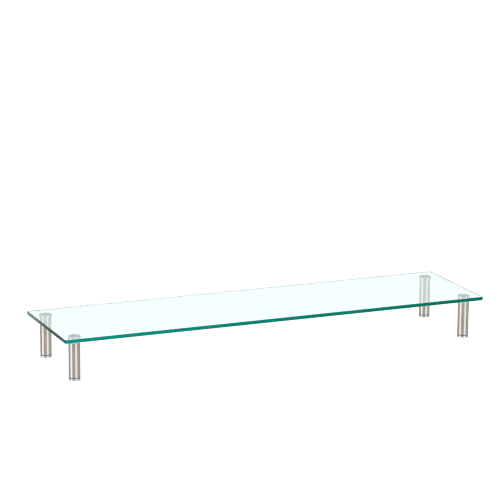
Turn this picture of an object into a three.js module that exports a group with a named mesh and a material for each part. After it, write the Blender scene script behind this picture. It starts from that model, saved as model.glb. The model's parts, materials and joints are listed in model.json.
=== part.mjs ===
// Monitor riser stand: a clear glass shelf on four round steel legs with screw-out levelling feet.
// Millimetres. +X runs along the shelf's long side to the right, +Y to the rear and +Z up.
// The origin is on the desk, under the middle of the shelf, with the feet screwed fully in.

import * as THREE from 'three';

// Shelf
const STAND_HEIGHT = 100;
const SHELF_LENGTH = 1000;
const SHELF_DEPTH = 260;
const SHELF_THICKNESS = 8;
const SHELF_CORNER_RADIUS = 3;
const SHELF_ARRIS = 1; // the small bevel ground along every edge of the glass
const LEG_INSET_FROM_ENDS = 32; // from the shelf's short edges to a leg's axis
const LEG_INSET_FROM_SIDES = 34; // from the shelf's long edges to a leg's axis

// Collar and the clear adhesive that bonds it under the glass
const ADHESIVE_THICKNESS = 0.3;
const ADHESIVE_RADIUS = 13.4;
const COLLAR_HEIGHT = 7.7;
const COLLAR_RADIUS = 14;
const COLLAR_EDGE = 0.6;
const COLLAR_HOLE_DEPTH = 6.2;

// Leg tube and the two metal plugs pressed in its ends
const TUBE_RADIUS = 12.5;
const TUBE_WALL = 1.2;
const TUBE_EDGE = 0.3;
const TOP_PLUG_HEIGHT = 14;
const INSERT_HEIGHT = 14;
const PRESS_GAP = 0.05;

// Levelling foot, turned from solid, with a dark spacer ring on top and a rubber pad underneath
const FOOT_TOP = 5.9;
const FOOT_RADIUS = 12.5;
const FOOT_TOP_EDGE = 0.4;
const FOOT_BOTTOM_ROUNDING = 2;
const SPACER_THICKNESS = 1.4;
const SPACER_RADIUS = 12.5;
const SPACER_TOP_GAP = 0.1; // left open under the tube when the foot is screwed fully in
const PAD_PROTRUSION = 0.5;
const PAD_RECESS_DEPTH = 1.5;
const PAD_RECESS_RADIUS = 9.6;
const PAD_RADIUS = 9.5;
const PAD_EDGE = 0.3;
const PAD_TOP_GAP = 0.05;

// M8 studs, drawn without their threads
const STUD_RADIUS = 4;
const STUD_HOLE_RADIUS = 4.08;
const STUD_EDGE = 0.6;
const COLLAR_STUD_BOTTOM = 71;
const FOOT_STUD_TOP = 30;
const FOOT_HOLE_FLOOR = 2.8;
const STUD_END_GAP = 0.2;

// Facets round the visible turned pieces and round the hidden ones
const OUTER_FACETS = 32;
const INNER_FACETS = 24;
const ROUNDING_STEPS = 3;
const SHELF_CORNER_STEPS = 6;

// Heights worked out from the sizes above
const GLASS_BOTTOM = STAND_HEIGHT - SHELF_THICKNESS;
const COLLAR_TOP = GLASS_BOTTOM - ADHESIVE_THICKNESS;
const TUBE_TOP = COLLAR_TOP - COLLAR_HEIGHT;
const SPACER_TOP = FOOT_TOP + SPACER_THICKNESS;
const TUBE_BOTTOM = SPACER_TOP + SPACER_TOP_GAP;
const TUBE_BORE_RADIUS = TUBE_RADIUS - TUBE_WALL;
const PLUG_RADIUS = TUBE_BORE_RADIUS - PRESS_GAP;
const PAD_RECESS_TOP = PAD_PROTRUSION + PAD_RECESS_DEPTH;

const MATERIALS = {
  glass: new THREE.MeshStandardMaterial({
    color: 0xd8f2ec,
    roughness: 0.02,
    metalness: 0,
    transparent: true,
    opacity: 0.35,
  }),
  adhesive: new THREE.MeshStandardMaterial({
    color: 0xe8efec,
    roughness: 0.1,
    metalness: 0,
    transparent: true,
    opacity: 0.5,
  }),
  satinSteel: new THREE.MeshStandardMaterial({ color: 0xd4d3d0, roughness: 0.22, metalness: 1 }),
  brushedSteel: new THREE.MeshStandardMaterial({ color: 0xc4beb8, roughness: 0.34, metalness: 1 }),
  polishedChrome: new THREE.MeshStandardMaterial({ color: 0xe2e3e6, roughness: 0.06, metalness: 1 }),
  zincSteel: new THREE.MeshStandardMaterial({ color: 0xb5b6b4, roughness: 0.4, metalness: 1 }),
  castAlloy: new THREE.MeshStandardMaterial({ color: 0x9fa1a3, roughness: 0.55, metalness: 1 }),
  darkNylon: new THREE.MeshStandardMaterial({ color: 0x1e2230, roughness: 0.45, metalness: 0 }),
  rubber: new THREE.MeshStandardMaterial({ color: 0x232323, roughness: 0.85, metalness: 0 }),
};

/** A rounded rectangle centred on the origin, as a closed outline. */
function roundedRectangle(length, depth, radius) {
  const x = length / 2 - radius;
  const y = depth / 2 - radius;
  const outline = new THREE.Shape();
  outline.absarc(x, y, radius, 0, Math.PI / 2);
  outline.absarc(-x, y, radius, Math.PI / 2, Math.PI);
  outline.absarc(-x, -y, radius, Math.PI, 1.5 * Math.PI);
  outline.absarc(x, -y, radius, 1.5 * Math.PI, 2 * Math.PI);
  outline.closePath();
  return outline;
}

/** A solid turned about +Z. The profile's [radius, height] points run up the outside and in over the top. */
function turned(profile, facets) {
  const points = profile.map(([radius, height]) => new THREE.Vector2(radius, height));
  return new THREE.LatheGeometry(points, facets).rotateX(Math.PI / 2);
}

/** A bar of round section with both ends bevelled. */
function bevelledBar(radius, edge, bottom, top, facets) {
  return turned(
    [
      [0, bottom],
      [radius - edge, bottom],
      [radius, bottom + edge],
      [radius, top - edge],
      [radius - edge, top],
      [0, top],
    ],
    facets,
  );
}

/** A plain ring or sleeve: its profile is a rectangle that closes on itself. */
function sleeve(boreRadius, outerRadius, bottom, top, facets) {
  return turned(
    [
      [boreRadius, bottom],
      [outerRadius, bottom],
      [outerRadius, top],
      [boreRadius, top],
      [boreRadius, bottom],
    ],
    facets,
  );
}

/** The glass sheet, with an arris along its top and bottom edges. */
function shelfGeometry() {
  const geometry = new THREE.ExtrudeGeometry(
    roundedRectangle(SHELF_LENGTH, SHELF_DEPTH, SHELF_CORNER_RADIUS),
    {
      depth: SHELF_THICKNESS - 2 * SHELF_ARRIS,
      bevelEnabled: true,
      bevelThickness: SHELF_ARRIS,
      bevelSize: SHELF_ARRIS,
      bevelOffset: -SHELF_ARRIS,
      bevelSegments: 1,
      curveSegments: SHELF_CORNER_STEPS,
    },
  );
  return geometry.translate(0, 0, GLASS_BOTTOM + SHELF_ARRIS);
}

/** The cured adhesive between the collar and the glass. */
function adhesiveGeometry() {
  return turned(
    [
      [0, COLLAR_TOP],
      [ADHESIVE_RADIUS, COLLAR_TOP],
      [ADHESIVE_RADIUS, GLASS_BOTTOM],
      [0, GLASS_BOTTOM],
    ],
    OUTER_FACETS,
  );
}

/** The disc bonded under the glass, with a blind hole for the collar stud in its lower face. */
function collarGeometry() {
  const holeTop = TUBE_TOP + COLLAR_HOLE_DEPTH;
  return turned(
    [
      [0, holeTop],
      [STUD_HOLE_RADIUS, holeTop],
      [STUD_HOLE_RADIUS, TUBE_TOP],
      [COLLAR_RADIUS - COLLAR_EDGE, TUBE_TOP],
      [COLLAR_RADIUS, TUBE_TOP + COLLAR_EDGE],
      [COLLAR_RADIUS, COLLAR_TOP - COLLAR_EDGE],
      [COLLAR_RADIUS - COLLAR_EDGE, COLLAR_TOP],
      [0, COLLAR_TOP],
    ],
    OUTER_FACETS,
  );
}

/** The set screw that holds the collar on the leg. */
function collarStudGeometry() {
  const top = TUBE_TOP + COLLAR_HOLE_DEPTH - STUD_END_GAP;
  return bevelledBar(STUD_RADIUS, STUD_EDGE, COLLAR_STUD_BOTTOM, top, INNER_FACETS);
}

/** The plug in the tube's upper end. */
function topPlugGeometry() {
  return sleeve(STUD_HOLE_RADIUS, PLUG_RADIUS, TUBE_TOP - TOP_PLUG_HEIGHT, TUBE_TOP, INNER_FACETS);
}

/** The leg tube, with both outer edges broken. */
function tubeGeometry() {
  return turned(
    [
      [TUBE_BORE_RADIUS, TUBE_BOTTOM],
      [TUBE_RADIUS - TUBE_EDGE, TUBE_BOTTOM],
      [TUBE_RADIUS, TUBE_BOTTOM + TUBE_EDGE],
      [TUBE_RADIUS, TUBE_TOP - TUBE_EDGE],
      [TUBE_RADIUS - TUBE_EDGE, TUBE_TOP],
      [TUBE_BORE_RADIUS, TUBE_TOP],
      [TUBE_BORE_RADIUS, TUBE_BOTTOM],
    ],
    OUTER_FACETS,
  );
}

/** The threaded insert in the tube's lower end. */
function bottomInsertGeometry() {
  return sleeve(STUD_HOLE_RADIUS, PLUG_RADIUS, TUBE_BOTTOM, TUBE_BOTTOM + INSERT_HEIGHT, INNER_FACETS);
}

/** The dark ring on top of the foot. */
function spacerRingGeometry() {
  return sleeve(STUD_HOLE_RADIUS, SPACER_RADIUS, FOOT_TOP, SPACER_TOP, OUTER_FACETS);
}

/** The foot, with its rounded bottom edge, a recess for the pad and a blind hole for the stud. */
function footGeometry() {
  const profile = [
    [0, PAD_RECESS_TOP],
    [PAD_RECESS_RADIUS, PAD_RECESS_TOP],
    [PAD_RECESS_RADIUS, PAD_PROTRUSION],
  ];
  const centreRadius = FOOT_RADIUS - FOOT_BOTTOM_ROUNDING;
  const centreHeight = PAD_PROTRUSION + FOOT_BOTTOM_ROUNDING;
  for (let step = 0; step <= ROUNDING_STEPS; step += 1) {
    const angle = (step / ROUNDING_STEPS) * (Math.PI / 2);
    profile.push([
      centreRadius + FOOT_BOTTOM_ROUNDING * Math.sin(angle),
      centreHeight - FOOT_BOTTOM_ROUNDING * Math.cos(angle),
    ]);
  }
  profile.push(
    [FOOT_RADIUS, FOOT_TOP - FOOT_TOP_EDGE],
    [FOOT_RADIUS - FOOT_TOP_EDGE, FOOT_TOP],
    [STUD_HOLE_RADIUS, FOOT_TOP],
    [STUD_HOLE_RADIUS, FOOT_HOLE_FLOOR],
    [0, FOOT_HOLE_FLOOR],
  );
  return turned(profile, OUTER_FACETS);
}

/** The stud fixed in the foot, which screws into the bottom insert. */
function footStudGeometry() {
  const bottom = FOOT_HOLE_FLOOR + STUD_END_GAP;
  return bevelledBar(STUD_RADIUS, STUD_EDGE, bottom, FOOT_STUD_TOP, INNER_FACETS);
}

/** The rubber pad in the foot's recess, which stands proud of it and rests on the desk. */
function footPadGeometry() {
  const top = PAD_RECESS_TOP - PAD_TOP_GAP;
  return turned(
    [
      [0, 0],
      [PAD_RADIUS - PAD_EDGE, 0],
      [PAD_RADIUS, PAD_EDGE],
      [PAD_RADIUS, top],
      [0, top],
    ],
    OUTER_FACETS,
  );
}

const LEG_PIECES = [
  ['adhesive', adhesiveGeometry(), MATERIALS.adhesive],
  ['collar', collarGeometry(), MATERIALS.satinSteel],
  ['collar_stud', collarStudGeometry(), MATERIALS.zincSteel],
  ['top_plug', topPlugGeometry(), MATERIALS.castAlloy],
  ['leg_tube', tubeGeometry(), MATERIALS.brushedSteel],
  ['bottom_insert', bottomInsertGeometry(), MATERIALS.castAlloy],
  ['spacer_ring', spacerRingGeometry(), MATERIALS.darkNylon],
  ['levelling_foot', footGeometry(), MATERIALS.polishedChrome],
  ['foot_stud', footStudGeometry(), MATERIALS.zincSteel],
  ['foot_pad', footPadGeometry(), MATERIALS.rubber],
];

/** One leg from the glass down to the desk, with its axis through the group's origin. */
function leg(corner) {
  const group = new THREE.Group();
  for (const [piece, geometry, material] of LEG_PIECES) {
    const mesh = new THREE.Mesh(geometry, material);
    mesh.name = `${corner}_${piece}`;
    group.add(mesh);
  }
  return group;
}

/** The whole stand. */
function riserStand() {
  const stand = new THREE.Group();

  const shelf = new THREE.Mesh(shelfGeometry(), MATERIALS.glass);
  shelf.name = 'glass_shelf';
  stand.add(shelf);

  const legX = SHELF_LENGTH / 2 - LEG_INSET_FROM_ENDS;
  const legY = SHELF_DEPTH / 2 - LEG_INSET_FROM_SIDES;
  const corners = [
    ['front_left', -legX, -legY],
    ['front_right', legX, -legY],
    ['rear_left', -legX, legY],
    ['rear_right', legX, legY],
  ];
  for (const [corner, x, y] of corners) {
    const group = leg(corner);
    group.position.set(x, y, 0);
    stand.add(group);
  }
  return stand;
}

export default riserStand();
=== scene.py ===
"""Looks of the monitor riser stand: a clear glass shelf on four brushed-steel legs with screw-out feet.

Each piece, NODE_finish, stands for the CAD node NODE: it takes its place and size from that node's box and
rides on that node's body. Lengths are in metres, in the CAD's own frame: +X right, +Y to the rear, +Z up.
"""

import json
import math
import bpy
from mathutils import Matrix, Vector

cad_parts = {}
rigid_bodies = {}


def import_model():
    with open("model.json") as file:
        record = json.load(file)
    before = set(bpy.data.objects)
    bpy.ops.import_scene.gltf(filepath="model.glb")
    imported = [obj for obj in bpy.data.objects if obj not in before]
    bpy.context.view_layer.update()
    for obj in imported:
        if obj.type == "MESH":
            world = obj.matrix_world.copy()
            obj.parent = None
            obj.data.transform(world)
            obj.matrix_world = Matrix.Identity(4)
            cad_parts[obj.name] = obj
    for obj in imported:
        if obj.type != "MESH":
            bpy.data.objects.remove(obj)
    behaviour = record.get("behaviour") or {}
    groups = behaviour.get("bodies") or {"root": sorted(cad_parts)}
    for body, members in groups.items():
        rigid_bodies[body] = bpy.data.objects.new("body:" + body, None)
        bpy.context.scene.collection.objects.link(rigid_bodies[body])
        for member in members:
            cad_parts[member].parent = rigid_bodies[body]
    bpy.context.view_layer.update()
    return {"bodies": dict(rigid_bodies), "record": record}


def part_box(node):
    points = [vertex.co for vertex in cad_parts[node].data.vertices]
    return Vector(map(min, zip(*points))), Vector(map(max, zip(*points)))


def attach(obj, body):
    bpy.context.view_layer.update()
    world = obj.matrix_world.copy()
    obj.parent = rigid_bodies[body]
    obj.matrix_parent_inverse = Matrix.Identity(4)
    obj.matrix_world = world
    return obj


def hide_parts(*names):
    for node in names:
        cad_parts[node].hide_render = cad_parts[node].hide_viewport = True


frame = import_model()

from types import SimpleNamespace

import bmesh
import bpy
from mathutils import Quaternion, Vector

BODIES = {node: body for body, nodes in frame["record"]["behaviour"]["bodies"].items() for node in nodes}
CORNERS = ("front_left", "front_right", "rear_left", "rear_right")
MM = 0.001

# Shelf
SHELF_LOW, SHELF_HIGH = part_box("glass_shelf")
SHELF_CORNER = 3.0 * MM
SHELF_ARRIS = 1.0 * MM
SHELF_CORNER_STEPS = 12

# Turned pieces
SIDES = 96
SHARP_ANGLE = math.radians(35)
ROOT_MARGIN = 0.05 * MM  # how far a thread's or knurl's root stands clear of the bevel at its end
PRESS_GAP = 0.05 * MM  # between a plug and the tube that holds it
KNURLS = 40
KNURL_DEPTH = 0.25 * MM
KNURL_SIDES = 6 * KNURLS

# M8 studs and the holes that take them
STUD_SIDES = 48
THREAD_PITCH = 1.25 * MM
THREAD_DEPTH = 0.61 * THREAD_PITCH
THREAD_CORNERS = (-1 / 16, 1 / 16, 3 / 8, 5 / 8)  # crest start and end, root start and end, in pitches
HOLE_CLEARANCE = 0.08 * MM
HOLE_END_GAP = 0.2 * MM
MERGE_DISTANCE = 0.001 * MM

# Zones of the glass, and the look of each: roughness, transmission, colour and tint of its reflections
ZONE_STEP = 0.1
CLEAR_FACE = SimpleNamespace(rough=0.0, clear=1.0, colour=(1.0, 1.0, 1.0), shine=(1.0, 1.0, 1.0))
POLISHED_EDGE = SimpleNamespace(rough=0.02, clear=0.8, colour=None, shine=(0.0, 0.3, 0.26))
ZONES = {
    "face": CLEAR_FACE,
    # The ground arrises are one finish, and their colours are painted light and shade for each side: dark on
    # the lower arris, which faces down, darkest on the side arrises, teal on the upper front arris and grey
    # on the upper rear arris.
    "shaded_lower_arris": SimpleNamespace(rough=0.3, clear=0.6, colour=(0.02, 0.26, 0.21), shine=(0.3, 0.5, 0.5)),
    "front_arris": SimpleNamespace(rough=0.25, clear=0.6, colour=(0.10, 0.50, 0.45), shine=(0.3, 0.5, 0.5)),
    "shaded_side_arris": SimpleNamespace(rough=0.25, clear=0.6, colour=(0.06, 0.09, 0.085), shine=(0.35, 0.4, 0.4)),
    "rear_arris": SimpleNamespace(rough=0.25, clear=0.6, colour=(0.40, 0.42, 0.42), shine=(0.5, 0.5, 0.5)),
    "long_edge": POLISHED_EDGE,
    "side_edge": POLISHED_EDGE,
}
ZONE_NUMBERS = {name: place * ZONE_STEP for place, name in enumerate(ZONES)}

# A polished edge's colour is the glass's teal with painted light and shade along its length: a long one from
# x to x, darker to the right, and a side one from y to y, lighter to the rear
LONG_EDGE_SPAN = (SHELF_LOW.x, SHELF_HIGH.x)
LONG_EDGE_TINT_AND_SHADE = ((0.005, 0.53, 0.46), (0.005, 0.28, 0.215))
SIDE_EDGE_SPAN = (-0.02, 0.10)
SIDE_EDGE_TINT_AND_LIGHT = ((0.01, 0.20, 0.19), (0.60, 0.90, 0.88))
GLASS_IOR = 1.52
GLASS_ABSORPTION = (15.0, 3.1, 3.9)  # per metre, in red, green and blue
SMEARED_ROUGHNESS = 0.012

# What shiny surfaces see round them: warm dark cards and, in degrees of azimuth, soft boxes between them
GLOSSY_STRENGTH = 1.3
CARD_COLOUR = (0.325, 0.30, 0.268)
SOFT_BOX_FADE = 12
SOFT_BOXES = (
    SimpleNamespace(centre=-84, half_width=12, brightness=0.9),
    SimpleNamespace(centre=18, half_width=13, brightness=0.8),
    SimpleNamespace(centre=160, half_width=10, brightness=0.85),
)
CARDS_TOP = (4, 11)  # degrees of elevation, from where the cards start to fade to where they end
CARDS_FOOT = (-32, -54)
OPENING_BRIGHTNESS = 0.84  # above and below the cards

# Floor, a light table that also lights the stand from below
FLOOR_HALF_SIZE = 15.0
FLOOR_COLOUR = (0.1, 0.1, 0.1)
FLOOR_GLOW = 0.95

# Camera: azimuth 0 looks along +Y
CAMERA_AZIMUTH = math.radians(-23.25)
CAMERA_ELEVATION = math.radians(13.475)
CAMERA_ROLL = math.radians(0.445)
CAMERA_DISTANCE = 5.3966
CAMERA_TARGET = Vector((-0.0210, 0.0, 0.2256))
CAMERA_LENS = 174.8
CAMERA_REACH = 100.0
SENSOR_WIDTH = 36.0


# ---------------------------------------------------------------------------------------------- node helpers


def new_material(name):
    """A material with a Principled shader, as (material, tree, shader, output)."""
    material = bpy.data.materials.new(name)
    material.use_nodes = True
    tree = material.node_tree
    tree.nodes.clear()
    output = tree.nodes.new("ShaderNodeOutputMaterial")
    shader = tree.nodes.new("ShaderNodeBsdfPrincipled")
    tree.links.new(shader.outputs["BSDF"], output.inputs["Surface"])
    return material, tree, shader, output


def position(tree, space="Object"):
    """The x, y and z of where a ray meets a surface, or of the way it leaves the scene ("Generated")."""
    place = tree.nodes.new("ShaderNodeTexCoord")
    parts = tree.nodes.new("ShaderNodeSeparateXYZ")
    tree.links.new(place.outputs[space], parts.inputs["Vector"])
    return parts.outputs["X"], parts.outputs["Y"], parts.outputs["Z"]


def stretched_noise(tree, scale, detail, roughness):
    """Noise in the piece's own coordinates, with a scale per metre along each axis."""
    place = tree.nodes.new("ShaderNodeTexCoord")
    mapping = tree.nodes.new("ShaderNodeMapping")
    mapping.inputs["Scale"].default_value = scale
    noise = tree.nodes.new("ShaderNodeTexNoise")
    noise.inputs["Scale"].default_value = 1.0
    noise.inputs["Detail"].default_value = detail
    noise.inputs["Roughness"].default_value = roughness
    tree.links.new(place.outputs["Object"], mapping.inputs["Vector"])
    tree.links.new(mapping.outputs["Vector"], noise.inputs["Vector"])
    return noise.outputs["Fac"]


def spread(tree, value, low, high, start=0.3, end=0.7):
    """value, with its stretch from start to end spread over low to high. Noise is mostly 0.3 to 0.7."""
    node = tree.nodes.new("ShaderNodeMapRange")
    node.inputs["From Min"].default_value = start
    node.inputs["From Max"].default_value = end
    node.inputs["To Min"].default_value = low
    node.inputs["To Max"].default_value = high
    tree.links.new(value, node.inputs["Value"])
    return node.outputs["Result"]


def maths(tree, operation, a, b):
    """One maths node. a and b are outputs or numbers."""
    node = tree.nodes.new("ShaderNodeMath")
    node.operation = operation
    for socket, value in zip(node.inputs, (a, b)):
        if isinstance(value, (int, float)):
            socket.default_value = value
        else:
            tree.links.new(value, socket)
    return node.outputs["Value"]


def blend_colours(tree, share, first, second):
    """A mix of two colours, each an output or three numbers. The node's colour sockets go by place."""
    node = tree.nodes.new("ShaderNodeMix")
    node.data_type = "RGBA"
    tree.links.new(share, node.inputs["Factor"])
    for socket, colour in ((node.inputs[6], first), (node.inputs[7], second)):
        if isinstance(colour, tuple):
            socket.default_value = (*colour, 1.0)
        else:
            tree.links.new(colour, socket)
    return node.outputs[2]


def mottle(tree, shader, noise, dark, light):
    """Lets a shader's colour wander from dark to light with a noise."""
    tree.links.new(blend_colours(tree, spread(tree, noise, 0, 1), dark, light), shader.inputs["Base Color"])


def roughen(tree, shader, noise, smooth, rough):
    """Lets a shader's roughness wander from smooth to rough with a noise."""
    tree.links.new(spread(tree, noise, smooth, rough), shader.inputs["Roughness"])


def add_bump(tree, shader, height, depth):
    """Bump on a shader: height 0 to 1 stands for a relief of depth metres."""
    node = tree.nodes.new("ShaderNodeBump")
    node.inputs["Strength"].default_value = 1.0
    node.inputs["Distance"].default_value = depth
    tree.links.new(height, node.inputs["Height"])
    tree.links.new(node.outputs["Normal"], shader.inputs["Normal"])


# ------------------------------------------------------------------------------------------------- materials


def by_zone(tree, zone, pick):
    """A value or colour for each zone of the glass: what pick gives for the zone's name and look."""
    ramp = tree.nodes.new("ShaderNodeValToRGB")
    ramp.color_ramp.interpolation = "CONSTANT"
    stops = ramp.color_ramp.elements
    stops.remove(stops[1])
    for name, look in ZONES.items():
        value = pick(name, look)
        colour = value if isinstance(value, tuple) else (value, value, value)
        start = ZONE_NUMBERS[name] - ZONE_STEP / 2
        stop = stops.new(start) if start > 0 else stops[0]
        stop.color = (*colour, 1.0)
    tree.links.new(zone, ramp.inputs["Fac"])
    return ramp.outputs["Color"]


def shading_along_edge(tree, coordinate, span, colours):
    """Painted light and shade: a colour that changes from one end of an edge to the other."""
    return blend_colours(tree, spread(tree, coordinate, 0, 1, *span), *colours)


def glass_material():
    """Clear float glass with polished edges and ground arrises, teal where light goes through much of it.
    The arrises and edges carry painted light and shade in their colour.
    """
    material, tree, shader, output = new_material("shelf_glass")
    attribute = tree.nodes.new("ShaderNodeAttribute")
    attribute.attribute_name = "zone"
    zone = attribute.outputs["Fac"]
    x, y, _ = position(tree)

    smears = stretched_noise(tree, (30, 30, 30), detail=4.0, roughness=0.6)
    polish = spread(tree, smears, 0.0, SMEARED_ROUGHNESS)
    ground = by_zone(tree, zone, lambda name, look: look.rough)
    tree.links.new(maths(tree, "ADD", polish, ground), shader.inputs["Roughness"])

    # Base colour: painted light and shade on the arrises, and on the polished edges their teal with painted
    # light and shade along each edge.
    colour = by_zone(tree, zone, lambda name, look: look.colour or 0.0)
    for edge, coordinate, span, colours in (
        ("long_edge", x, LONG_EDGE_SPAN, LONG_EDGE_TINT_AND_SHADE),
        ("side_edge", y, SIDE_EDGE_SPAN, SIDE_EDGE_TINT_AND_LIGHT),
    ):
        on_edge = by_zone(tree, zone, lambda name, look: float(name == edge))
        colour = blend_colours(tree, on_edge, colour, shading_along_edge(tree, coordinate, span, colours))
    tree.links.new(colour, shader.inputs["Base Color"])

    tree.links.new(by_zone(tree, zone, lambda name, look: look.clear), shader.inputs["Transmission Weight"])
    tree.links.new(by_zone(tree, zone, lambda name, look: look.shine), shader.inputs["Specular Tint"])
    shader.inputs["IOR"].default_value = GLASS_IOR

    absorption = tree.nodes.new("ShaderNodeVolumeAbsorption")
    density = max(GLASS_ABSORPTION)
    absorption.inputs["Density"].default_value = density
    absorption.inputs["Color"].default_value = (*(1 - a / density for a in GLASS_ABSORPTION), 1.0)
    tree.links.new(absorption.outputs["Volume"], output.inputs["Volume"])
    return material


def bond_material():
    """The collar's upper face as it shows through the glass, wetted by the clear adhesive."""
    material, tree, shader, _ = new_material("bonded_collar_face")
    wetting = stretched_noise(tree, (600, 600, 600), detail=2.0, roughness=0.5)
    mottle(tree, shader, wetting, dark=(0.55, 0.55, 0.54), light=(0.63, 0.63, 0.62))
    roughen(tree, shader, wetting, smooth=0.4, rough=0.55)
    shader.inputs["Metallic"].default_value = 0.6
    return material


def adhesive_material():
    """Cured clear adhesive, faintly cloudy."""
    material, tree, shader, _ = new_material("clear_adhesive")
    cloud = stretched_noise(tree, (400, 400, 400), detail=3.0, roughness=0.6)
    mottle(tree, shader, cloud, dark=(0.72, 0.78, 0.76), light=(0.82, 0.87, 0.85))
    roughen(tree, shader, cloud, smooth=0.12, rough=0.25)
    shader.inputs["Transmission Weight"].default_value = 0.4
    return material


def turned_metal(name, dark, light, smooth, rough, lines_per_metre, relief, anisotropy):
    """Metal finished on a lathe: fine lines run round it, and its sheen stretches up and down it."""
    material, tree, shader, _ = new_material(name)
    lines = stretched_noise(tree, (25, 25, lines_per_metre), detail=3.0, roughness=0.65)
    patches = stretched_noise(tree, (60, 60, 35), detail=3.0, roughness=0.5)
    tone = maths(tree, "ADD", spread(tree, lines, 0, 0.6), spread(tree, patches, 0, 0.4))
    tree.links.new(blend_colours(tree, tone, dark, light), shader.inputs["Base Color"])
    worn = spread(tree, patches, -0.02, 0.02)
    tree.links.new(maths(tree, "ADD", spread(tree, lines, smooth, rough), worn), shader.inputs["Roughness"])
    shader.inputs["Metallic"].default_value = 1.0
    shader.inputs["Anisotropic"].default_value = anisotropy
    upright = tree.nodes.new("ShaderNodeCombineXYZ")
    upright.inputs["Z"].default_value = 1.0
    tree.links.new(upright.outputs["Vector"], shader.inputs["Tangent"])
    add_bump(tree, shader, lines, relief)
    return material


def satin_material():
    """Bright satin-turned steel of the collars."""
    return turned_metal(
        "satin_steel",
        dark=(0.78, 0.77, 0.75),
        light=(0.88, 0.87, 0.85),
        smooth=0.16,
        rough=0.24,
        lines_per_metre=2600,
        relief=0.002 * MM,
        anisotropy=0.4,
    )


def brushed_material():
    """Warm brushed stainless steel of the leg tubes."""
    return turned_metal(
        "brushed_steel",
        dark=(0.73, 0.70, 0.66),
        light=(0.89, 0.86, 0.83),
        smooth=0.19,
        rough=0.245,
        lines_per_metre=2200,
        relief=0.0008 * MM,
        anisotropy=0.7,
    )


def zinc_material():
    """Zinc-plated steel of the studs."""
    return turned_metal(
        "zinc_steel",
        dark=(0.60, 0.61, 0.60),
        light=(0.68, 0.69, 0.68),
        smooth=0.3,
        rough=0.42,
        lines_per_metre=900,
        relief=0.004 * MM,
        anisotropy=0.0,
    )


def alloy_material():
    """Dull cast alloy of the plugs in the tubes."""
    return turned_metal(
        "cast_alloy",
        dark=(0.50, 0.51, 0.52),
        light=(0.60, 0.61, 0.62),
        smooth=0.45,
        rough=0.6,
        lines_per_metre=500,
        relief=0.02 * MM,
        anisotropy=0.0,
    )


def chrome_material():
    """Polished chrome with faint hairlines from handling."""
    material, tree, shader, _ = new_material("polished_chrome")
    hairlines = stretched_noise(tree, (90, 90, 2500), detail=2.0, roughness=0.6)
    haze = stretched_noise(tree, (250, 250, 250), detail=3.0, roughness=0.55)
    mottle(tree, shader, haze, dark=(0.82, 0.81, 0.81), light=(0.90, 0.89, 0.88))
    roughen(tree, shader, hairlines, smooth=0.06, rough=0.13)
    shader.inputs["Metallic"].default_value = 1.0
    add_bump(tree, shader, hairlines, 0.002 * MM)
    return material


def nylon_material():
    """Dark blue-black nylon with a hard shine."""
    material, tree, shader, _ = new_material("dark_nylon")
    grain = stretched_noise(tree, (1500, 1500, 1500), detail=2.0, roughness=0.5)
    mottle(tree, shader, grain, dark=(0.012, 0.018, 0.06), light=(0.022, 0.03, 0.095))
    roughen(tree, shader, grain, smooth=0.14, rough=0.22)
    shader.inputs["IOR"].default_value = 1.8
    shader.inputs["Specular IOR Level"].default_value = 1.0
    shader.inputs["Specular Tint"].default_value = (0.78, 0.86, 1.0, 1.0)
    add_bump(tree, shader, grain, 0.01 * MM)
    return material


def rubber_material():
    """Matt black rubber with a dusty grain."""
    material, tree, shader, _ = new_material("black_rubber")
    grain = stretched_noise(tree, (1200, 1200, 1200), detail=4.0, roughness=0.6)
    mottle(tree, shader, grain, dark=(0.018, 0.018, 0.019), light=(0.05, 0.05, 0.05))
    roughen(tree, shader, grain, smooth=0.7, rough=0.9)
    add_bump(tree, shader, grain, 0.03 * MM)
    return material


def floor_material():
    """Plain pale studio floor, lit from within, so that shadows on it stay faint."""
    material, _, shader, _ = new_material("studio_floor")
    shader.inputs["Base Color"].default_value = (*FLOOR_COLOUR, 1.0)
    shader.inputs["Roughness"].default_value = 1.0
    shader.inputs["Specular IOR Level"].default_value = 0.0
    shader.inputs["Emission Color"].default_value = (1.0, 1.0, 1.0, 1.0)
    shader.inputs["Emission Strength"].default_value = FLOOR_GLOW
    return material


# ---------------------------------------------------------------------------------------------- mesh helpers


def finish_piece(node, built, *materials):
    """Makes a piece from a bmesh, stands it for its CAD node and lets it ride on that node's body."""
    name = f"{node}_finish"
    mesh = bpy.data.meshes.new(name)
    bmesh.ops.recalc_face_normals(built, faces=built.faces)
    for edge in built.edges:
        edge.smooth = len(edge.link_faces) != 2 or edge.calc_face_angle() < SHARP_ANGLE
    built.to_mesh(mesh)
    built.free()
    piece = bpy.data.objects.new(name, mesh)
    bpy.context.scene.collection.objects.link(piece)
    for material in materials:
        mesh.materials.append(material)
    weighted = piece.modifiers.new("flat faces keep their normals", "WEIGHTED_NORMAL")
    weighted.keep_sharp = True
    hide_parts(node)
    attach(piece, BODIES[node])
    return piece


def space(node):
    """The axis, radius, bottom and top of a turned CAD node."""
    low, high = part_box(node)
    middle = (low + high) / 2
    return SimpleNamespace(x=middle.x, y=middle.y, radius=(high.x - low.x) / 2, bottom=low.z, top=high.z)


def on_circle(built, axis, radius, angle, height):
    """A new point at a radius and angle about an upright axis."""
    return built.verts.new((axis.x + radius * math.cos(angle), axis.y + radius * math.sin(angle), height))


def arc(centre_radius, centre_height, size, start, end, steps):
    """Points of a fillet in a profile, from one angle to another, in degrees above the radial direction."""
    points = []
    for step in range(steps + 1):
        angle = math.radians(start + (end - start) * step / steps)
        points.append((centre_radius + size * math.cos(angle), centre_height + size * math.sin(angle)))
    return points


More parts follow.
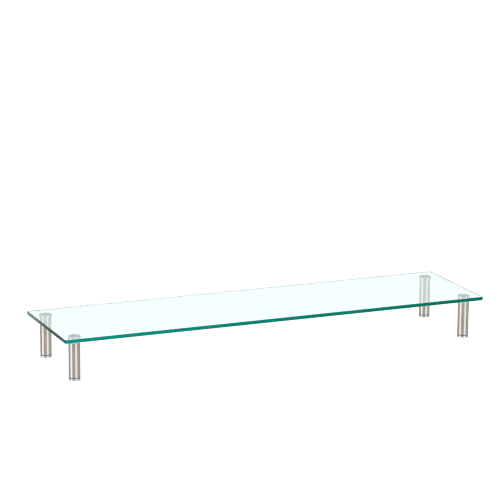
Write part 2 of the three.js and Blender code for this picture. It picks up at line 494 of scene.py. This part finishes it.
def turned(axis, profile, sides=SIDES, knurls=0):
    """A closed solid turned about an upright axis from (radius, height) points, going up its outside.

    The profile starts and ends on the axis, or closes on itself. With knurls, that many ribs run up
    the part of it that is at its largest radius.
    """
    built = bmesh.new()
    largest = max(radius for radius, _ in profile)
    rings = []
    for radius, height in profile:
        if radius == 0:
            rings.append([built.verts.new((axis.x, axis.y, height))])
            continue
        ring = []
        for side in range(sides):
            angle = 2 * math.pi * side / sides
            valley = KNURL_DEPTH * (0.5 - 0.5 * math.cos(knurls * angle)) if radius == largest else 0.0
            ring.append(on_circle(built, axis, radius - valley, angle, height))
        rings.append(ring)
    closed = profile[0][0] != 0
    following = rings[1:] + ([rings[0]] if closed else [])
    for low, high in zip(rings, following):
        for side in range(sides):
            after = (side + 1) % sides
            corners = [low[place % len(low)] for place in (side, after)]
            corners += [high[place % len(high)] for place in (after, side)]
            built.faces.new(list(dict.fromkeys(corners)))
    for face in built.faces:
        face.smooth = True
    return built


# ----------------------------------------------------------------------------------------------------- shelf


def rounded_outline(low, high, radius, inset):
    """Corner points of a rounded rectangle drawn in by inset, anticlockwise."""
    points = []
    size = radius - inset
    centres = (
        (high.x - radius, high.y - radius),
        (low.x + radius, high.y - radius),
        (low.x + radius, low.y + radius),
        (high.x - radius, low.y + radius),
    )
    for turn, (x, y) in enumerate(centres):
        for step in range(SHELF_CORNER_STEPS + 1):
            angle = math.pi / 2 * (turn + step / SHELF_CORNER_STEPS)
            points.append((x + size * math.cos(angle), y + size * math.sin(angle)))
    return points


def band_zone(band, run):
    """The zone of a stretch of the shelf's rim, which runs anticlockwise: rightwards along its front."""
    on_side = abs(run.y) > abs(run.x)
    if band == "lower arris":
        return "shaded_lower_arris"
    if band == "edge":
        return "side_edge" if on_side else "long_edge"
    if on_side:
        return "shaded_side_arris"
    return "front_arris" if run.x > 0 else "rear_arris"


def shelf_rim(built, low, high):
    """The two arrises and the edge between them. Gives back the outlines of the lower and upper faces."""
    zone = built.faces.layers.float.new("zone")
    levels = (
        (low.z, SHELF_ARRIS),
        (low.z + SHELF_ARRIS, 0.0),
        (high.z - SHELF_ARRIS, 0.0),
        (high.z, SHELF_ARRIS),
    )
    loops = []
    for height, inset in levels:
        outline = rounded_outline(low, high, SHELF_CORNER, inset)
        loops.append([built.verts.new((x, y, height)) for x, y in outline])
    for lower, upper, band in zip(loops, loops[1:], ("lower arris", "edge", "upper arris")):
        for place in range(len(lower)):
            after = (place + 1) % len(lower)
            face = built.faces.new((lower[place], lower[after], upper[after], upper[place]))
            face[zone] = ZONE_NUMBERS[band_zone(band, lower[after].co - lower[place].co)]
    return loops[0], loops[-1]


def bonded_disc(built, corner, height):
    """The disc of the glass's lower face that is bonded to a collar. Gives back its rim."""
    film = space(f"{corner}_adhesive")
    rim = [on_circle(built, film, film.radius, 2 * math.pi * side / SIDES, height) for side in range(SIDES)]
    built.faces.new(rim).material_index = 1
    return rim


def glass_shelf(glass, bond):
    """The sheet of glass, with a ground arris round both faces and a bonded disc over each collar."""
    built = bmesh.new()
    lower_outline, upper_outline = shelf_rim(built, SHELF_LOW, SHELF_HIGH)
    built.faces.new(upper_outline)

    boundary = []
    for loop in [lower_outline, *(bonded_disc(built, corner, SHELF_LOW.z) for corner in CORNERS)]:
        for place, vertex in enumerate(loop):
            after = loop[(place + 1) % len(loop)]
            boundary.append(built.edges.get((vertex, after)) or built.edges.new((vertex, after)))
    bmesh.ops.triangle_fill(built, use_beauty=True, use_dissolve=False, edges=boundary)
    shelf = finish_piece("glass_shelf", built, glass, bond)
    shelf.visible_shadow = False
    shelf.visible_diffuse = False


# ------------------------------------------------------------------------------------------------------ legs


def adhesive(corner, material):
    """The cured film, with a rounded rim where it was squeezed out."""
    film = space(f"{corner}_adhesive")
    gap = 0.02 * MM  # air left under the glass, so that the two faces don't share a plane
    rim = (film.top - gap - film.bottom) / 2
    profile = [(0, film.bottom)]
    profile += arc(film.radius - rim, film.bottom + rim, rim, -90, 90, steps=8)
    profile += [(0, film.top - gap)]
    finish_piece(f"{corner}_adhesive", turned(film, profile), material)


def collar(corner, material):
    """The bonded disc, with a broken upper edge, a full rounded lower edge and a blind hole for its stud."""
    disc = space(f"{corner}_collar")
    stud = space(f"{corner}_collar_stud")
    hole = stud.radius + HOLE_CLEARANCE
    hole_top = stud.top + HOLE_END_GAP
    countersink = 0.4 * MM
    upper = 0.5 * MM
    lower = 3.0 * MM
    profile = [
        (0, hole_top),
        (hole, hole_top),
        (hole, disc.bottom + countersink),
        (hole + countersink, disc.bottom),
    ]
    profile += arc(disc.radius - lower, disc.bottom + lower, lower, -90, 0, steps=10)
    profile += arc(disc.radius - upper, disc.top - upper, upper, 0, 90, steps=5)
    profile += [(0, disc.top)]
    finish_piece(f"{corner}_collar", turned(disc, profile), material)


def threaded_stud(corner, piece, material):
    """An M8 stud with its thread cut as a right-hand helix and both ends bevelled.

    Each column of points runs up one side of the stud. The thread climbs by one pitch round the stud,
    so the last column joins the first one a whole turn of the thread higher up.
    """
    stud = space(f"{corner}_{piece}")
    end_radius = stud.radius - THREAD_DEPTH - ROOT_MARGIN
    built = bmesh.new()
    turns = math.ceil((stud.top - stud.bottom) / THREAD_PITCH) + 3
    columns = []
    for side in range(STUD_SIDES):
        share = side / STUD_SIDES
        column = []
        for turn in range(turns):
            for place, corner_share in enumerate(THREAD_CORNERS):
                height = stud.bottom + THREAD_PITCH * (turn - 1.5 + corner_share + share)
                height = min(max(height, stud.bottom), stud.top)
                radius = stud.radius - (THREAD_DEPTH if place >= 2 else 0.0)
                room = min(height - stud.bottom, stud.top - height)
                radius = min(radius, end_radius + room)
                column.append(on_circle(built, stud, radius, 2 * math.pi * share, height))
        columns.append(column)
    last = len(columns[0]) - 1
    for side, column in enumerate(columns):
        after = columns[(side + 1) % STUD_SIDES]
        shift = len(THREAD_CORNERS) if side == STUD_SIDES - 1 else 0
        for row in range(last):
            low, high = min(row + shift, last), min(row + 1 + shift, last)
            corners = list(dict.fromkeys((column[row], after[low], after[high], column[row + 1])))
            if len(corners) >= 3:
                built.faces.new(corners)
    bmesh.ops.remove_doubles(built, verts=built.verts, dist=MERGE_DISTANCE)
    middle = (stud.bottom + stud.top) / 2
    open_edges = [edge for edge in built.edges if len(edge.link_faces) == 1]
    bmesh.ops.contextual_create(built, geom=[edge for edge in open_edges if edge.verts[0].co.z < middle])
    bmesh.ops.contextual_create(built, geom=[edge for edge in open_edges if edge.verts[0].co.z > middle])
    finish_piece(f"{corner}_{piece}", built, material)


def knurled_plug(corner, piece, stud_name, material):
    """A plug pressed in the tube: ribbed outside, with a bevelled bore for a stud."""
    plug = space(f"{corner}_{piece}")
    bore = space(f"{corner}_{stud_name}").radius + HOLE_CLEARANCE
    bevel = 0.5 * MM
    lead = 1.2 * MM
    root = plug.radius - KNURL_DEPTH - ROOT_MARGIN
    profile = [
        (bore, plug.bottom + bevel),
        (bore + bevel, plug.bottom),
        (plug.radius - bevel, plug.bottom),
        (root, plug.bottom + lead),
        (plug.radius, plug.bottom + lead),
        (plug.radius, plug.top - lead),
        (root, plug.top - lead),
        (plug.radius - bevel, plug.top),
        (bore + bevel, plug.top),
        (bore, plug.top - bevel),
    ]
    finish_piece(f"{corner}_{piece}", turned(plug, profile, sides=KNURL_SIDES, knurls=KNURLS), material)


def sleeve(axis, bore):
    """A tube or ring about an axis, with small radii on its outer edges."""
    edge = 0.3 * MM
    profile = [(bore, axis.bottom)]
    profile += arc(axis.radius - edge, axis.bottom + edge, edge, -90, 0, steps=5)
    profile += arc(axis.radius - edge, axis.top - edge, edge, 0, 90, steps=5)
    profile += [(bore, axis.top)]
    return turned(axis, profile)


def leg_tube(corner, material):
    """The tube, bored to hold its plugs."""
    bore = space(f"{corner}_top_plug").radius + PRESS_GAP
    finish_piece(f"{corner}_leg_tube", sleeve(space(f"{corner}_leg_tube"), bore), material)


def spacer_ring(corner, material):
    """The dark ring over the foot."""
    bore = space(f"{corner}_foot_stud").radius + HOLE_CLEARANCE
    finish_piece(f"{corner}_spacer_ring", sleeve(space(f"{corner}_spacer_ring"), bore), material)


def levelling_foot(corner, material):
    """The polished foot, with a rounded lower edge, a recess for the pad and a blind hole for the stud."""
    foot = space(f"{corner}_levelling_foot")
    pad = space(f"{corner}_foot_pad")
    stud = space(f"{corner}_foot_stud")
    hole = stud.radius + HOLE_CLEARANCE
    hole_floor = stud.bottom - HOLE_END_GAP
    side_gap = 0.1 * MM
    glue_gap = 0.05 * MM
    recess = pad.radius + side_gap
    recess_top = pad.top + glue_gap
    lower = 2.0 * MM
    upper = 0.4 * MM
    profile = [(0, recess_top), (recess, recess_top), (recess, foot.bottom)]
    profile += arc(foot.radius - lower, foot.bottom + lower, lower, -90, 0, steps=12)
    profile += arc(foot.radius - upper, foot.top - upper, upper, 0, 90, steps=5)
    profile += [(hole, foot.top), (hole, hole_floor), (0, hole_floor)]
    finish_piece(f"{corner}_levelling_foot", turned(foot, profile), material)


def foot_pad(corner, material):
    """The rubber pad, with three ring grooves in the face that grips the desk."""
    pad = space(f"{corner}_foot_pad")
    groove_centres = (2.5 * MM, 5.0 * MM, 7.5 * MM)
    groove = 0.25 * MM
    edge = 0.3 * MM
    profile = [(0, pad.bottom)]
    for centre in groove_centres:
        profile += [
            (centre - 2 * groove, pad.bottom),
            (centre - groove, pad.bottom + groove),
            (centre + groove, pad.bottom + groove),
            (centre + 2 * groove, pad.bottom),
        ]
    profile += arc(pad.radius - edge, pad.bottom + edge, edge, -90, 0, steps=4)
    profile += [(pad.radius, pad.top), (0, pad.top)]
    finish_piece(f"{corner}_foot_pad", turned(pad, profile), material)


def leg(corner, looks):
    """Every piece of one leg, from the glass down."""
    adhesive(corner, looks.adhesive)
    collar(corner, looks.satin)
    threaded_stud(corner, "collar_stud", looks.zinc)
    knurled_plug(corner, "top_plug", "collar_stud", looks.alloy)
    leg_tube(corner, looks.brushed)
    knurled_plug(corner, "bottom_insert", "foot_stud", looks.alloy)
    spacer_ring(corner, looks.nylon)
    levelling_foot(corner, looks.chrome)
    threaded_stud(corner, "foot_stud", looks.zinc)
    foot_pad(corner, looks.rubber)


# ----------------------------------------------------------------------------------------------------- stage


def soft_box_ramp(tree, azimuth):
    """The colour of the cards and soft boxes at an azimuth in radians."""
    ramp = tree.nodes.new("ShaderNodeValToRGB")
    ramp.color_ramp.interpolation = "EASE"
    stops = ramp.color_ramp.elements
    stops[0].color = stops[1].color = (*CARD_COLOUR, 1.0)
    for box in SOFT_BOXES:
        lit = (box.brightness, box.brightness, box.brightness)
        for degrees, colour in (
            (box.centre - box.half_width - SOFT_BOX_FADE, CARD_COLOUR),
            (box.centre - box.half_width, lit),
            (box.centre + box.half_width, lit),
            (box.centre + box.half_width + SOFT_BOX_FADE, CARD_COLOUR),
        ):
            stops.new((degrees + 180) / 360).color = (*colour, 1.0)
    tree.links.new(maths(tree, "ADD", maths(tree, "DIVIDE", azimuth, 2 * math.pi), 0.5), ramp.inputs["Fac"])
    return ramp.outputs["Color"]


def past_cards(tree, z, fade):
    """0 on the cards and 1 past their end, for the z of a direction. The fade's two ends are in degrees."""
    start, end = (math.sin(math.radians(degrees)) for degrees in fade)
    if start < end:
        return spread(tree, z, 0, 1, start, end)
    return spread(tree, z, 1, 0, end, start)


def studio_world():
    """White all round, except that shiny surfaces also see darker cards standing between soft boxes."""
    world = bpy.data.worlds.new("studio")
    bpy.context.scene.world = world
    world.use_nodes = True
    world.cycles.sampling_method = "NONE"
    tree = world.node_tree
    tree.nodes.clear()
    output = tree.nodes.new("ShaderNodeOutputWorld")
    plain = tree.nodes.new("ShaderNodeBackground")
    plain.inputs["Color"].default_value = (1.0, 1.0, 1.0, 1.0)
    plain.inputs["Strength"].default_value = 1.0
    cards = tree.nodes.new("ShaderNodeBackground")
    cards.inputs["Strength"].default_value = GLOSSY_STRENGTH
    path = tree.nodes.new("ShaderNodeLightPath")
    choose = tree.nodes.new("ShaderNodeMixShader")
    tree.links.new(path.outputs["Is Glossy Ray"], choose.inputs["Fac"])
    tree.links.new(plain.outputs["Background"], choose.inputs[1])
    tree.links.new(cards.outputs["Background"], choose.inputs[2])
    tree.links.new(choose.outputs["Shader"], output.inputs["Surface"])

    x, y, z = position(tree, "Generated")
    azimuth = maths(tree, "ARCTAN2", x, maths(tree, "MULTIPLY", y, -1.0))
    opening = maths(tree, "MAXIMUM", past_cards(tree, z, CARDS_TOP), past_cards(tree, z, CARDS_FOOT))
    white = (OPENING_BRIGHTNESS, OPENING_BRIGHTNESS, OPENING_BRIGHTNESS)
    seen = blend_colours(tree, opening, soft_box_ramp(tree, azimuth), white)
    tree.links.new(seen, cards.inputs["Color"])


def studio_floor():
    """A broad pale floor that every foot stands on: at a pose it goes down with the lowest pad."""
    half = FLOOR_HALF_SIZE
    corners = [(-half, -half, 0.0), (half, -half, 0.0), (half, half, 0.0), (-half, half, 0.0)]
    mesh = bpy.data.meshes.new("studio_floor")
    mesh.from_pydata(corners, [], [(0, 1, 2, 3)])
    mesh.materials.append(floor_material())
    floor = bpy.data.objects.new("studio_floor", mesh)
    bpy.context.scene.collection.objects.link(floor)
    floor.visible_glossy = False
    lowest = floor.driver_add("location", 2).driver
    lowest.type = "MIN"
    for corner in CORNERS:
        variable = lowest.variables.new()
        variable.type = "TRANSFORMS"
        variable.targets[0].id = frame["bodies"][f"{corner}_pad"]
        variable.targets[0].transform_type = "LOC_Z"
        variable.targets[0].transform_space = "WORLD_SPACE"


def studio_camera():
    """A long lens, a little above the shelf and to its left."""
    back = Vector(
        (
            math.sin(CAMERA_AZIMUTH) * math.cos(CAMERA_ELEVATION),
            -math.cos(CAMERA_AZIMUTH) * math.cos(CAMERA_ELEVATION),
            math.sin(CAMERA_ELEVATION),
        )
    )
    camera = bpy.data.objects.new("camera", bpy.data.cameras.new("camera"))
    bpy.context.scene.collection.objects.link(camera)
    camera.location = CAMERA_TARGET + back * CAMERA_DISTANCE
    camera.rotation_mode = "QUATERNION"
    camera.rotation_quaternion = back.to_track_quat("Z", "Y") @ Quaternion((0, 0, 1), CAMERA_ROLL)
    camera.data.sensor_width = SENSOR_WIDTH
    camera.data.lens = CAMERA_LENS
    camera.data.clip_end = CAMERA_REACH
    bpy.context.scene.camera = camera


def light_paths():
    """Enough bounces for light that goes on through the length of the glass, and a fairly crisp picture."""
    scene = bpy.context.scene
    scene.view_settings.view_transform = "Standard"
    scene.cycles.filter_width = 1.1
    scene.cycles.max_bounces = 32
    scene.cycles.glossy_bounces = 24
    scene.cycles.transmission_bounces = 24


# -------------------------------------------------------------------------------------------------- assembly

looks = SimpleNamespace(
    adhesive=adhesive_material(),
    satin=satin_material(),
    brushed=brushed_material(),
    zinc=zinc_material(),
    alloy=alloy_material(),
    chrome=chrome_material(),
    nylon=nylon_material(),
    rubber=rubber_material(),
)
glass_shelf(glass_material(), bond_material())
for corner in CORNERS:
    leg(corner, looks)

studio_floor()
studio_world()
studio_camera()
light_paths()
